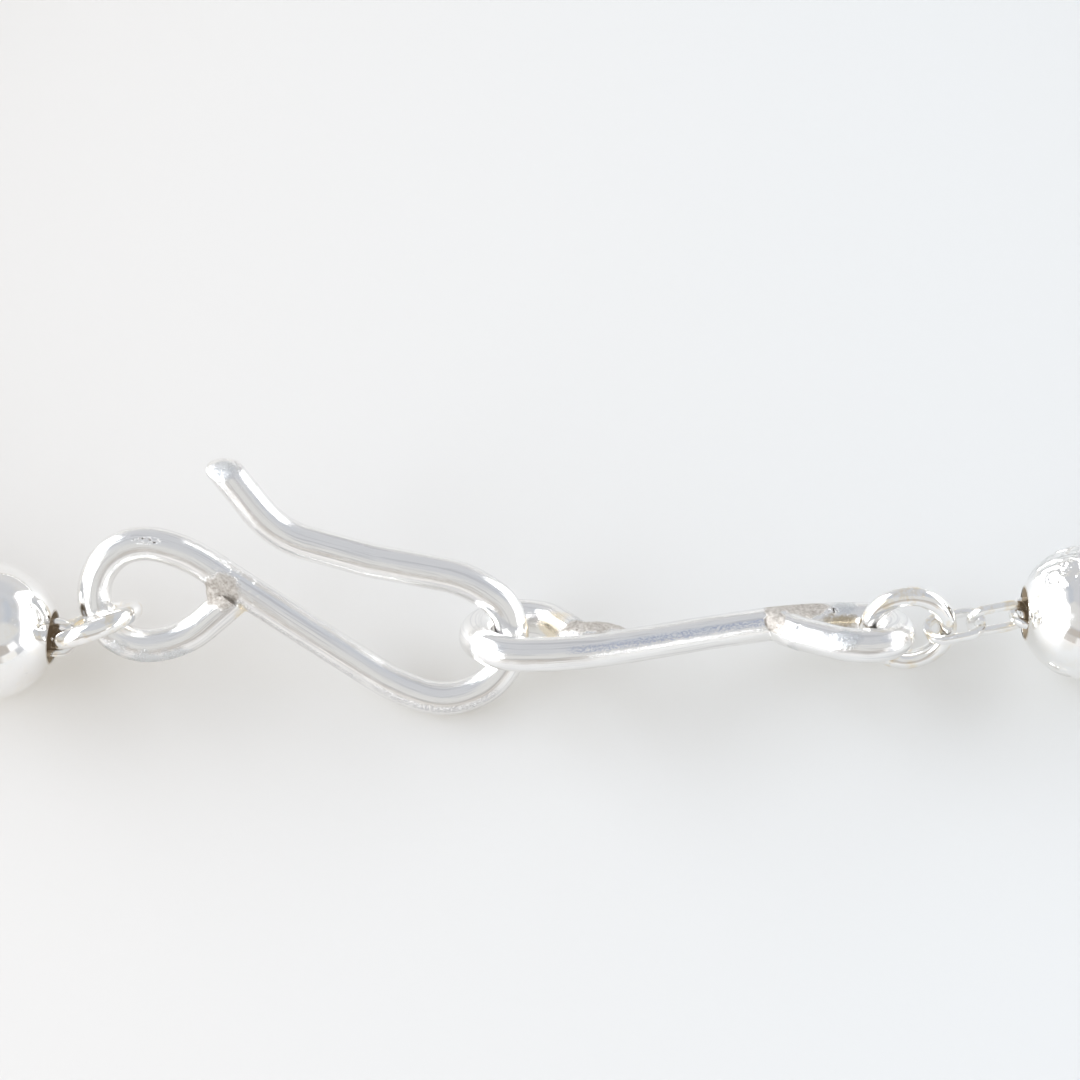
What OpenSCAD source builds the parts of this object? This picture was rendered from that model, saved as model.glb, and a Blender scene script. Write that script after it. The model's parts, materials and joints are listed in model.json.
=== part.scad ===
// Silver bead necklace: hollow round beads threaded on a cable chain, closed by a wire hook
// and a double wire eye. It lies in a closed oval on a flat surface, with the clasp side
// towards -Y, the beads resting on z = 0 and every length in millimetres.

/* [Beads] */
// Outer diameter of a bead
bead_d = 9; // [8.9:0.05:9.05]
// Thickness of a bead's sheet metal
bead_wall = 0.4; // [0.3:0.05:0.5]
// Diameter of the hole at each end of a bead
bead_hole_d = 3.55; // [3.5:0.05:3.6]
// Distance from one bead to the next along the chain
bead_pitch = 8.75; // [8.7:0.05:8.85]
// Number of beads
bead_count = 40; // [38:1:40]

/* [Chain] */
// Length of a chain link
link_len = 4.2; // [4.1:0.05:4.3]
// Width of a chain link
link_w = 2.6; // [2.55:0.05:2.65]
// Width of the link's flattened wire, seen from the link's face
link_wire = 0.5; // [0.4:0.05:0.5]
// Thickness of the link's flattened wire
link_t = 0.55; // [0.45:0.05:0.6]
// Wanted distance from one link to the next
link_pitch = 2.89; // [2.85:0.01:2.95]

/* [Jump rings] */
// Outer diameter of a jump ring
ring_d = 6.5; // [6.45:0.05:6.55]
// Diameter of a jump ring's wire
ring_wire = 1.3; // [1.2:0.05:1.3]

/* [Hook and eye] */
// Diameter of the wire that the hook and the eye are bent from
wire_d = 2.25; // [2.1:0.05:2.25]
// Angle at which the hook lies, its point raised
hook_tilt = 40; // [39:0.5:41]
// Angle at which the eye lies, its front edge raised
eye_tilt = -38; // [-39:0.5:-37]
// Sides of the round wire of the hook and the eye
wire_sides = 16; // [12:2:16]

/* [Loop] */
// How far round the loop each side curve carries the beads, degrees
side_turn = 110; // [108:1:114]
// Straight stretch that the first bead lies on
straight_len = 8.9; // [8.7:0.1:9.1]

/* [Hidden] */
$fn = 48;
BEAD_NAMES = [for (k = [1:bead_count]) str("bead_", k < 10 ? "0" : "", k)];

solder_sides = 12;
silver = [0.86, 0.86, 0.88];
bright_silver = [0.93, 0.93, 0.94];

bead_r = bead_d / 2;
wire_r = wire_d / 2;
ring_r = (ring_d - ring_wire) / 2;
// Length of a bead between the rims of its two holes
bead_len = 2 * sqrt(pow(bead_r, 2) - pow(bead_hole_d / 2, 2));
// Height at which the beads and the chain inside them lie
axis_z = bead_r;

// Facing holes of the two end beads, and the headings of the chain there
first_hole = [32.1, 0.7];
first_heading = 0.7;
last_hole = [-32.1, -1.1];
last_heading = 358.8;

// Columns of a bending table: stretch of wire, turn along it in degrees
STRETCH = 0;
TURN = 1;
// Columns of a place on a bent wire or on the loop
X = 0;
Y = 1;
HEADING = 2;

// A stretch that turns by less than this, in degrees, is straight
least_turn = 0.01;
// The place reached from p after a stretch with an even turn
function onward(p, stretch, turn) = abs(turn) < least_turn
    ? [p[X] + stretch * cos(p[HEADING]), p[Y] + stretch * sin(p[HEADING]), p[HEADING]]
    : let (r = stretch * 180 / (PI * turn), h = p[HEADING])
        [p[X] + r * (sin(h + turn) - sin(h)), p[Y] + r * (cos(h) - cos(h + turn)), h + turn];

// The places where each row of a bending table starts, and where the last one ends
function corners(p, rows, i = 0) = i == len(rows)
    ? [p]
    : concat([p], corners(onward(p, rows[i][STRETCH], rows[i][TURN]), rows, i + 1));

// Round a bend the wire has a ring of points every few degrees
degrees_a_ring = 8;
function wire_places(start, rows) = let (at = corners(start, rows)) concat(
    [for (i = [0:len(rows) - 1])
        let (n = max(1, ceil(abs(rows[i][TURN]) / degrees_a_ring)))
            for (j = [0:n - 1]) onward(at[i], rows[i][STRETCH] * j / n, rows[i][TURN] * j / n)],
    [at[len(rows)]]);

// A round wire along those places. cut_a and cut_b slope its two ends: how far the end runs on
// for each millimetre sideways in the plane of the bends, and for each millimetre out of it.
module bent_wire(start, rows, cut_a, cut_b) {
    places = wire_places(start, rows);
    last = len(places) - 1;
    function slope(i) = i == 0 ? cut_a : i == last ? cut_b : [0, 0];
    points = [for (i = [0:last]) for (s = [0:wire_sides - 1])
        let (p = places[i], h = p[HEADING], a = 360 * s / wire_sides,
             side = wire_r * cos(a), out = wire_r * sin(a),
             on = side * slope(i)[0] + out * slope(i)[1])
            [p[X] - side * sin(h) + on * cos(h), p[Y] + side * cos(h) + on * sin(h), out]];
    faces = concat(
        [[for (s = [0:wire_sides - 1]) s]],
        [for (i = [0:last - 1]) for (s = [0:wire_sides - 1])
            let (t = (s + 1) % wire_sides, a = i * wire_sides, b = a + wire_sides)
                [a + t, a + s, b + s, b + t]],
        [[for (s = [wire_sides - 1:-1:0]) last * wire_sides + s]]);
    polyhedron(points, faces);
}

// The hook lies in a sloping plane through the middle of its lower bend
hook_at = [-6.6, -4.1, 1.15];
// The hook's wire starts at the point: [x, y, heading]
hook_start = [-14.2, 15.7, -52];
hook_bends = [
    [3.7, 0],       // the flared point
    [3.7, 34],
    [9.0, 9.5],     // the upper arm
    [4.2, -30],     // the bend that the eye hangs in
    [2.0, -38],
    [5.1, -72],
    [4.2, -48.5],
    [3.5, -16.5],
    [13.2, 0],      // the shank
    [3.6, 22],      // the ring loop
    [11.6, 194],
    [3.8, 36],
    [2.2, 4]];
// The point is cut at a slope, and the loop's end is cut to lie against the shank
hook_point_cut = [0, 0.4];
hook_loop_cut = [-0.2, 0];
// Drop of solder where the loop closes on the shank
hook_solder = [-14.1, 7.3, 0];
hook_solder_d = 2.6;

module hook() {
    color(silver)
    translate(hook_at) rotate([hook_tilt, 0, 0]) {
        bent_wire(hook_start, hook_bends, hook_point_cut, hook_loop_cut);
        translate(hook_solder) sphere(d = hook_solder_d, $fn = solder_sides);
    }
}

// The eye lies in a sloping plane. Its wire starts where the loop around the hook closes on
// the shank
eye_at = [0, -0.65, 4];
eye_start = [2.7, -0.75, 120];
eye_bends = [
    [3.0, 2],       // the loop that the hook passes through
    [2.7, 58],
    [5.0, 92],
    [4.9, 88],
    [3.5, 12],      // the shank
    [3.6, 10],
    [5.6, 0],
    [4.0, -5],
    [3.4, -9],
    [3.45, -8],
    [6.9, -180],    // the loop that the jump ring passes through
    [2.6, -50],
    [1.7, 0]];
eye_start_cut = [0.3, 0];
eye_end_cut = [0.3, 0];
// Drops of solder where the two loops close on the shank
eye_solder_hook_side = [3.2, -1.5, 0.2];
eye_solder_ring_side = [16.8, 2.2, 0.2];
eye_solder_d = 2.4;

module eye() {
    color(silver)
    translate(eye_at) rotate([eye_tilt, 0, 0]) {
        bent_wire(eye_start, eye_bends, eye_start_cut, eye_end_cut);
        translate(eye_solder_hook_side) sphere(d = eye_solder_d, $fn = solder_sides);
        translate(eye_solder_ring_side) sphere(d = eye_solder_d, $fn = solder_sides);
    }
}

// A ring of round wire in the XY plane
module jump_ring() {
    rotate_extrude() translate([ring_r, 0]) circle(d = ring_wire);
}

// This ring joins the hook's loop to the last chain link
ring_hook_at = [-29.23, -0.42, 5.05];
ring_hook_turn = [130, 0, 0];
ring_hook_slant = 20.5;

module jump_ring_hook() {
    color(bright_silver)
    translate(ring_hook_at) rotate(ring_hook_turn) rotate([0, ring_hook_slant, 0]) jump_ring();
}

// This ring joins the eye to the first chain link
ring_eye_at = [24.35, -0.2, 4.1];
ring_eye_turn = [65, 0, 0];

module jump_ring_eye() {
    color(bright_silver)
    translate(ring_eye_at) rotate(ring_eye_turn) jump_ring();
}

// The loop runs anticlockwise from the first bead's outer hole to the last bead's outer hole:
// one straight stretch, then three curves that meet smoothly
loop_len = bead_count * bead_pitch - (bead_pitch - bead_len);
back_turn = 360 - 2 * side_turn;
curve_turns = [side_turn - first_heading, back_turn, last_heading - side_turn - back_turn];
curve_headings = [first_heading, side_turn, side_turn + back_turn];
loop_start = [first_hole[X], first_hole[Y], first_heading];
straight_end = onward(loop_start, straight_len, 0);

// What a curve of radius 1 adds: its reach in x and in y, and its length
function unit_curve(i) = let (h = curve_headings[i], t = curve_turns[i])
    [sin(h + t) - sin(h), cos(h) - cos(h + t), PI * t / 180];
unit_curves = [for (i = [0:2]) unit_curve(i)];
// The radii at which the three curves end on the last hole with the right length
to_close = [last_hole[X] - straight_end[X], last_hole[Y] - straight_end[Y],
            loop_len - straight_len];
function box_product(a, b, c) = cross(a, b) * c;
closing = box_product(unit_curves[0], unit_curves[1], unit_curves[2]);
curve_radii = [
    box_product(to_close, unit_curves[1], unit_curves[2]) / closing,
    box_product(unit_curves[0], to_close, unit_curves[2]) / closing,
    box_product(unit_curves[0], unit_curves[1], to_close) / closing];
loop_rows = concat([[straight_len, 0]],
    [for (i = [0:2]) [curve_radii[i] * PI * curve_turns[i] / 180, curve_turns[i]]]);
loop_corners = corners(loop_start, loop_rows);

// The place at distance d along the loop, and past its ends on a straight line
function loop_place(d, i = 0) = let (row = loop_rows[i])
    d <= row[STRETCH] || i == len(loop_rows) - 1
        ? onward(loop_corners[i], d, row[TURN] * d / row[STRETCH])
        : loop_place(d - row[STRETCH], i + 1);

// Each bead's axis joins the places of its two holes
function bead_end(k, side) =
    let (p = loop_place(bead_len / 2 + (k - 1) * bead_pitch + side * bead_len / 2)) [p[X], p[Y]];
function bead_centre(k) = (bead_end(k, -1) + bead_end(k, 1)) / 2;
function bead_heading(k) = let (v = bead_end(k, 1) - bead_end(k, -1)) atan2(v[Y], v[X]);

module bead(k) {
    c = bead_centre(k);
    color(bright_silver)
    translate([c[X], c[Y], axis_z]) rotate([0, 90, bead_heading(k)])
        difference() {
            sphere(d = bead_d);
            sphere(d = bead_d - 2 * bead_wall);
            cylinder(h = bead_d, d = bead_hole_d, center = true);
        }
}

// An oval outline with round ends, its long side along X
module oval(long, wide) {
    square([long - wide, wide], center = true);
    for (side = [-1, 1]) translate([side * (long - wide) / 2, 0]) circle(d = wide);
}

module chain_link() {
    linear_extrude(link_t, center = true) difference() {
        oval(link_len, link_w);
        oval(link_len - 2 * link_wire, link_w - 2 * link_wire);
    }
}

// The first link hangs on the eye's jump ring, in front of the first bead, and the chain runs
// from it in a straight line into the bead. The last link hangs on the hook's jump ring, in
// the mouth of the last bead.
first_link_at = [27.45, -0.1, 4.15];
last_link_inside = 0.4;
lead = [first_hole[X], first_hole[Y], axis_z] - first_link_at;
lead_len = norm(lead);
lead_heading = atan2(lead[Y], lead[X]);
lead_rise = atan2(lead[2], norm([lead[X], lead[Y]]));
chain_len = lead_len + loop_len - last_link_inside;
link_count = round(chain_len / link_pitch) + 1;
// Roll of the first and the last link about the chain, so that each faces its jump ring
first_link_roll = -15;
last_link_roll = 43;
// Each link is turned a quarter from the one before, and the chain also twists a little
quarter = 90;
untwisted_roll = first_link_roll + (link_count - 1) * quarter;
half_turns = round((untwisted_roll - last_link_roll) / 180);
link_twist = (last_link_roll + 180 * half_turns - untwisted_roll) / (link_count - 1);

module chain() {
    color(silver)
    for (i = [0:link_count - 1]) {
        d = chain_len * i / (link_count - 1);
        roll = first_link_roll + i * (quarter + link_twist);
        if (d < lead_len)
            translate(first_link_at + lead * d / lead_len)
                rotate([0, -lead_rise, lead_heading]) rotate([roll, 0, 0]) chain_link();
        else {
            p = loop_place(d - lead_len);
            translate([p[X], p[Y], axis_z]) rotate([0, 0, p[HEADING]]) rotate([roll, 0, 0])
                chain_link();
        }
    }
}

// The origin is under the middle of the necklace's bounding box
bead_centres = [for (k = [1:bead_count]) bead_centre(k)];
hook_low_y = hook_at[Y] - wire_r + min([for (p = wire_places(hook_start, hook_bends))
    p[Y] * cos(hook_tilt)]);
low_x = min([for (c = bead_centres) c[X]]) - bead_r;
high_x = max([for (c = bead_centres) c[X]]) + bead_r;
low_y = min(hook_low_y, min([for (c = bead_centres) c[Y]]) - bead_r);
high_y = max([for (c = bead_centres) c[Y]]) + bead_r;

translate([-(low_x + high_x) / 2, -(low_y + high_y) / 2, 0]) {
    hook();
    eye();
    jump_ring_hook();
    jump_ring_eye();
    chain();
    for (k = [1:bead_count])
        bead(k);
}
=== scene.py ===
"""A silver bead necklace on a pale surface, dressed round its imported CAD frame.

Every piece is bent, blown or drawn in millimetres, in the frame of the clasp: X runs along the
clasp line from the hook to the eye, the necklace lies behind it towards +Y, and the surface that
it lies on is at z = 0. settle() takes a finished piece to its place, in metres.
"""

import json
import math
import random

import bmesh
import bpy
import numpy as np
from mathutils import Matrix, Vector

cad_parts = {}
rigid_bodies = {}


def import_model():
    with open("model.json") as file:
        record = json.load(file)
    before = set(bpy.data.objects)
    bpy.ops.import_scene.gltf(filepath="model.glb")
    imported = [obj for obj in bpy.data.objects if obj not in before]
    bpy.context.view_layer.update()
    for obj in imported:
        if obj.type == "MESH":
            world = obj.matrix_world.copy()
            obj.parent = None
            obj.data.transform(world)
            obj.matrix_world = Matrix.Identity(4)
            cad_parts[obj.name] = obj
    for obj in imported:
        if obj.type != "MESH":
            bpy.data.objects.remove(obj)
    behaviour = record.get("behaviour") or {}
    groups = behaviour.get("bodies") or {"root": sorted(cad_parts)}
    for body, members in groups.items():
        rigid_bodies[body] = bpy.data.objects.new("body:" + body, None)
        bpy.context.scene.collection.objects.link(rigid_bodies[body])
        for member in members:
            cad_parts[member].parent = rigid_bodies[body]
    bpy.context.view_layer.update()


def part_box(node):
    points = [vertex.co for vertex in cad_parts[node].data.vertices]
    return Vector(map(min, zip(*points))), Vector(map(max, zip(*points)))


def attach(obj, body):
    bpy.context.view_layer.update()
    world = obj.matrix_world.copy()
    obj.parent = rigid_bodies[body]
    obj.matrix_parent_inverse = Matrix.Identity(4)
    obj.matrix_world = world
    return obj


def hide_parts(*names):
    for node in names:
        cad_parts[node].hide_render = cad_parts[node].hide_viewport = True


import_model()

MM = 0.001
UP = Vector((0, 0, 1))

# Where things are

BEAD_COUNT = 40
BEAD_NAMES = [f"bead_{k:02d}" for k in range(1, BEAD_COUNT + 1)]


def centre_of(node):
    low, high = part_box(node)
    return (low + high) / 2


# The two end beads, whose places in the clasp's frame are known, tell where that frame lies
FIRST_BEAD, LAST_BEAD = Vector((36.235, 0.751, 4.5)), Vector((-36.196, -0.591, 4.5))
CLASP = (centre_of(BEAD_NAMES[0]) + centre_of(BEAD_NAMES[-1])) / 2 / MM - (FIRST_BEAD + LAST_BEAD) / 2

LEAST_TURN = 0.01


def onward(place, stretch, turn):
    """The place reached after a stretch with an even turn. A place is x, y and a heading in degrees."""
    x, y, heading = place
    a, b = math.radians(heading), math.radians(heading + turn)
    if abs(turn) < LEAST_TURN:
        return (x + stretch * math.cos(a), y + stretch * math.sin(a), heading)
    r = stretch / math.radians(turn)
    return (x + r * (math.sin(b) - math.sin(a)), y + r * (math.cos(a) - math.cos(b)), heading + turn)


def turned(x=0.0, y=0.0, z=0.0):
    """A turn about X, then Y, then Z, in degrees."""
    return (
        Matrix.Rotation(math.radians(z), 4, "Z")
        @ Matrix.Rotation(math.radians(y), 4, "Y")
        @ Matrix.Rotation(math.radians(x), 4, "X")
    )


# Hand tools


def clear_selection():
    if bpy.context.object and bpy.context.object.mode != "OBJECT":
        bpy.ops.object.mode_set(mode="OBJECT")
    bpy.ops.object.select_all(action="DESELECT")


def take(piece):
    clear_selection()
    bpy.context.view_layer.objects.active = piece
    piece.select_set(True)
    return piece


def open_mesh(piece):
    take(piece)
    bpy.ops.object.mode_set(mode="EDIT")
    bpy.ops.mesh.select_all(action="DESELECT")


def close_mesh():
    bpy.ops.object.mode_set(mode="OBJECT")


def pick(kind, test):
    """Selects only the faces, edges or vertices that pass the test."""
    bpy.ops.mesh.select_mode(type=kind)
    bpy.ops.mesh.select_all(action="DESELECT")
    mesh = bmesh.from_edit_mesh(bpy.context.edit_object.data)
    for part in {"FACE": mesh.faces, "EDGE": mesh.edges, "VERT": mesh.verts}[kind]:
        if test(part):
            part.select_set(True)
    mesh.select_flush_mode()
    bmesh.update_edit_mesh(bpy.context.edit_object.data)


def modify(piece, kind, **settings):
    """Adds a modifier and applies it."""
    take(piece)
    made = piece.modifiers.new(kind.lower(), kind)
    for key, value in settings.items():
        setattr(made, key, value)
    bpy.ops.object.modifier_apply(modifier=made.name)


def copy_of(piece, name):
    made = piece.copy()
    made.data = piece.data.copy()
    made.name = made.data.name = name
    bpy.context.scene.collection.objects.link(made)
    return made


def join(pieces, name):
    take(pieces[0])
    for piece in pieces:
        piece.select_set(True)
    if len(pieces) > 1:
        bpy.ops.object.join()
    made = bpy.context.object
    made.name = made.data.name = name
    return made


def place(piece, matrix):
    """Moves a piece within the clasp's frame, its place kept in its mesh."""
    take(piece)
    piece.matrix_world = matrix @ piece.matrix_world
    bpy.ops.object.transform_apply(location=True, rotation=True, scale=True)


def settle(piece, node, slot, *finishes):
    """Takes a finished piece to its node's place, in metres, and gives it the finishes passed, if any."""
    place(piece, Matrix.Scale(MM, 4) @ Matrix.Translation(CLASP))
    if finishes:
        piece.data.materials.clear()
        for finish in finishes:
            piece.data.materials.append(finish)
    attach(piece, "root")
    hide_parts(node)
    return piece


def beaten(name, size):
    """The slight unevenness of metal worked by hand, a millimetre or more from bump to bump."""
    made = bpy.data.textures.new(name, "CLOUDS")
    made.noise_scale = size
    made.noise_depth = 1
    return made


def shade(piece, degrees=40):
    take(piece)
    bpy.ops.object.shade_smooth_by_angle(angle=math.radians(degrees))


# Wire work

WIRE_R = 1.125
WIRE_SIDES = 32
DEGREES_A_RING = 6
STRAIGHT_A_RING = 0.7
# The waves that drawing leaves in the wire: from one to the next, and how deep
DRAWN_WAVE, DRAWN_DEPTH = 2.6, 0.05
# How much of a wire's end a cut may touch
END_REACH = 3 * WIRE_R
RINGS_BY_AN_END = 4
CLEAR_OF_RINGS = 1.5
# An edge runs round the wire where its way shares less than this with the wire's heading
ROUND_THE_WIRE = 0.5
SAW_TOLERANCE = 1e-5
# A cut's own face: how well it faces along the cut's normal, its least area, and the rings of its
# dome, each with how far in it is and its share of the dome's height
CUT_FACING, LEAST_CUT_FACE = 0.99, 0.25
DOME_RINGS = [(0.1, 0.3), (0.15, 0.35), (0.2, 0.35)]
ROUNDING_STEPS = 6
RUN_STEP = 0.2


def bend(section, start, rows, degrees_a_ring=DEGREES_A_RING, straight_a_ring=STRAIGHT_A_RING):
    """Draws an open section, which stands at the start, along straight stretches and round bends."""
    open_mesh(section)
    bpy.ops.mesh.select_mode(type="EDGE")
    bpy.ops.mesh.select_all(action="SELECT")
    here = start
    for stretch, turn in rows:
        heading = math.radians(here[2])
        if abs(turn) < LEAST_TURN:
            steps = math.ceil(stretch / straight_a_ring)
            step = stretch / steps
            ahead = (step * math.cos(heading), step * math.sin(heading), 0)
            for _ in range(steps):
                bpy.ops.mesh.extrude_region_move(TRANSFORM_OT_translate={"value": ahead})
        else:
            r = stretch / math.radians(turn)
            bpy.ops.mesh.spin(
                steps=math.ceil(abs(turn) / degrees_a_ring),
                angle=math.radians(turn),
                center=(here[0] - r * math.sin(heading), here[1] + r * math.cos(heading), 0),
                axis=(0, 0, -1),
            )
        here = onward(here, stretch, turn)
    close_mesh()
    return here


def standing_circle(name, at, radius, sides):
    """A circle that stands across the wire's heading."""
    clear_selection()
    bpy.ops.mesh.primitive_circle_add(
        vertices=sides,
        radius=radius,
        location=(at[0], at[1], 0),
        rotation=(math.pi / 2, 0, math.radians(at[2] - 90)),
    )
    made = bpy.context.object
    made.name = name
    bpy.ops.object.transform_apply(location=True, rotation=True, scale=True)
    return made


def heading_vector(degrees):
    return Vector((math.cos(math.radians(degrees)), math.sin(math.radians(degrees)), 0))


def point_of(at):
    """The point of a place, in the plane of the bends."""
    return Vector((at[0], at[1], 0))


def drawn_wire(name, start, rows, spare):
    """A wire bent along its rows and left a little long at each end, and where its far end is cut."""
    before, after = spare
    start = onward(start, -before, 0)
    wire = standing_circle(name, start, WIRE_R, WIRE_SIDES)
    end = bend(wire, start, [(before, 0)] + rows + [(after, 0)])
    modify(wire, "DISPLACE", texture=beaten("drawn_wire", DRAWN_WAVE), strength=DRAWN_DEPTH, mid_level=0.5)
    return wire, onward(end, -after, 0)


def clear_rings(wire, at, outward):
    """Takes the rings out of a free end, so that a cut there meets only the lengthwise edges."""
    tip = point_of(at)

    def near_ring(e):
        way = e.verts[1].co - e.verts[0].co
        from_tip = e.verts[0].co - tip
        return (
            not e.is_boundary
            and abs(way.normalized().dot(outward)) < ROUND_THE_WIRE
            and from_tip.length < END_REACH
            and from_tip.dot(outward) > -CLEAR_OF_RINGS
        )

    open_mesh(wire)
    pick("EDGE", near_ring)
    bpy.ops.mesh.dissolve_edges()
    close_mesh()


def cut_end(wire, at, outward, slope):
    """Saws the end of a wire off at a slope and fills the cut."""
    side = Vector((-outward.y, outward.x, 0))
    normal = (outward - side * slope[0] - UP * slope[1]).normalized()
    tip = point_of(at)

    def on_rim(e):
        return e.is_boundary and (e.verts[0].co - tip).length < END_REACH

    open_mesh(wire)
    pick("EDGE", on_rim)
    for _ in range(RINGS_BY_AN_END):
        bpy.ops.mesh.select_more()
    bpy.ops.mesh.bisect(plane_co=tip, plane_no=normal, clear_outer=True, threshold=SAW_TOLERANCE)
    pick("EDGE", on_rim)
    bpy.ops.mesh.edge_face_add()
    close_mesh()
    return normal


def round_cut(wire, at, normal, soften, dome):
    """Files the sharp edge of a cut end round and leaves its face slightly domed."""
    tip = point_of(at)

    def on_cut(f):
        return abs(f.normal.dot(normal)) > CUT_FACING and (f.calc_center_median() - tip).length < WIRE_R

    open_mesh(wire)
    pick("FACE", on_cut)
    bpy.ops.mesh.bevel(offset=soften, segments=ROUNDING_STEPS, affect="EDGES")
    for inset, share in DOME_RINGS:
        pick("FACE", lambda f: on_cut(f) and f.calc_area() > LEAST_CUT_FACE)
        bpy.ops.mesh.inset(thickness=inset)
        bpy.ops.transform.translate(value=normal * (dome * share))
    close_mesh()


# How far solder reaches along the wire, and the grain that it is worked in
SOLDER_REACH, SOLDER_GRAIN = 2.8, 0.09
SOLDER_FLOW, SOLDER_FLOWS = 0.5, 40
# The lumps that it freezes in: from one to the next, how high, and how much of one lies below
FROZEN_WAVE, FROZEN_HEIGHT, FROZEN_LEVEL = 0.45, 0.1, 0.4


def solder_on(wire, at, size):
    """Fills the corner where two strands meet. The solder creeps along both and freezes uneven."""
    clear_selection()
    bpy.ops.mesh.primitive_ico_sphere_add(subdivisions=4, radius=1, location=at)
    drop = bpy.context.object
    drop.scale = size
    bpy.ops.object.transform_apply(location=True, rotation=True, scale=True)
    fill = copy_of(wire, "solder")
    open_mesh(fill)
    pick("VERT", lambda v: (v.co - at).length > SOLDER_REACH)
    bpy.ops.mesh.delete(type="VERT")
    bpy.ops.mesh.select_all(action="SELECT")
    bpy.ops.mesh.fill_holes(sides=0)
    close_mesh()
    fill = join([fill, drop], "solder")
    modify(fill, "REMESH", mode="VOXEL", voxel_size=SOLDER_GRAIN)
    modify(fill, "SMOOTH", factor=SOLDER_FLOW, iterations=SOLDER_FLOWS)
    modify(fill, "DISPLACE", texture=beaten("frozen", FROZEN_WAVE), strength=FROZEN_HEIGHT,
           mid_level=FROZEN_LEVEL)
    modify(wire, "BOOLEAN", operation="UNION", solver="EXACT", use_self=True, object=fill)
    bpy.data.objects.remove(fill)


def mark_run(wire, start, rows):
    """Gives each point of a wire its distance along it and its two offsets from the wire's middle:
    to the left in the plane of the bends, and out of that plane. The finish reads these."""
    here, along, steps = start, 0.0, []
    for stretch, turn in rows:
        count = math.ceil(stretch / RUN_STEP)
        for i in range(count):
            x, y, heading = onward(here, stretch * i / count, turn * i / count)
            steps.append((x, y, math.radians(heading), along + stretch * i / count))
        here, along = onward(here, stretch, turn), along + stretch
    steps = np.array(steps)
    at = np.empty(len(wire.data.vertices) * 3)
    wire.data.vertices.foreach_get("co", at)
    at = at.reshape(-1, 3)
    nearest = np.argmin((at[:, :1] - steps[:, 0]) ** 2 + (at[:, 1:2] - steps[:, 1]) ** 2, axis=1)
    x, y, heading, along = steps[nearest].T
    dx, dy = at[:, 0] - x, at[:, 1] - y
    c, s = np.cos(heading), np.sin(heading)
    run = np.stack([along + dx * c + dy * s, dy * c - dx * s, at[:, 2]], axis=1)
    layer = wire.data.attributes.new("run", "FLOAT_VECTOR", "POINT")
    layer.data.foreach_set("vector", run.ravel())


# The hook

HOOK_AT, HOOK_TILT = Vector((-6.6, -4.1, 1.15)), 40
# Where the wire starts and heads, and its bends: a stretch of wire, and its turn in degrees
HOOK_START = (-14.2, 15.7, -52)
HOOK_BENDS = [
    (3.7, 0), (3.7, 34), (9.0, 9.5), (4.2, -30), (2.0, -38), (5.1, -72), (4.2, -48.5), (3.5, -16.5),
    (13.2, 0), (3.6, 22), (11.6, 194), (3.8, 36), (2.7, 5),
]
HOOK_SPARE = (1.0, 0.5)
# The slopes of the two cuts, sideways and upwards, and how the one at the point is filed
POINT_SLOPE, HOOK_CLOSING_SLOPE = (0.5, -0.55), (-0.2, 0)
POINT_SOFTENED, POINT_DOME = 0.32, 0.1
HOOK_SOLDER, HOOK_SOLDER_SIZE = Vector((-14.2, 7.5, 0)), (1.25, 1.25, 0.8)


def make_hook():
    hook, closing = drawn_wire("hook_silver", HOOK_START, HOOK_BENDS, HOOK_SPARE)
    outward = -heading_vector(HOOK_START[2])
    clear_rings(hook, HOOK_START, outward)
    point = cut_end(hook, HOOK_START, outward, POINT_SLOPE)
    cut_end(hook, closing, heading_vector(closing[2]), HOOK_CLOSING_SLOPE)
    round_cut(hook, HOOK_START, point, POINT_SOFTENED, POINT_DOME)
    solder_on(hook, HOOK_SOLDER, HOOK_SOLDER_SIZE)
    shade(hook)
    mark_run(hook, HOOK_START, HOOK_BENDS)
    return hook


# The eye

EYE_AT, EYE_TILT = Vector((0, -0.65, 4)), -38
EYE_START = (2.7, -0.75, 120)
EYE_BENDS = [
    (3.0, 2), (2.7, 58), (5.0, 92), (4.9, 88), (3.5, 12), (3.6, 10), (5.6, 0), (4.0, -5), (3.4, -9),
    (3.45, -8), (6.9, -180), (2.6, -33), (2.4, 0), (1.2, -22),
]
EYE_SPARE, EYE_SLOPE = (0.5, 0.5), (0.3, 0)
# Where each loop is closed, and how big the drop of solder there is
EYE_SOLDER = [
    (Vector((3.6, -1.05, 0.25)), (2.5, 1.0, 1.05)),
    (Vector((16.3, 1.3, 0.35)), (1.7, 1.1, 0.95)),
]


def make_eye():
    eye, closing = drawn_wire("eye_silver", EYE_START, EYE_BENDS, EYE_SPARE)
    cut_end(eye, EYE_START, -heading_vector(EYE_START[2]), EYE_SLOPE)
    cut_end(eye, closing, heading_vector(closing[2]), EYE_SLOPE)
    for at, size in EYE_SOLDER:
        solder_on(eye, at, size)
    shade(eye)
    mark_run(eye, EYE_START, EYE_BENDS)
    return eye


# Jump rings

RING_R, RING_WIRE_R = 2.6, 0.65
RING_SEGMENTS, RING_SIDES = 96, 24
# The ring's soldered joint: how far it counts round the ring, how much it swells, and how widely
JOINT_WIDTH, JOINT_SWELL, SWELL_REACH = 0.03, 1.05, 0.5
RING_WAVE, RING_DEPTH = 1.8, 0.025
# Where each ring hangs, how it stands, and where round it the joint is
HOOK_RING_AT, HOOK_RING_TURN = (-29.23, -0.42, 5.05), turned(x=130) @ turned(y=20.5)
EYE_RING_AT, EYE_RING_TURN = (24.35, -0.2, 4.1), turned(x=65)
HOOK_RING_JOINT, EYE_RING_JOINT = 200, 250


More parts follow.
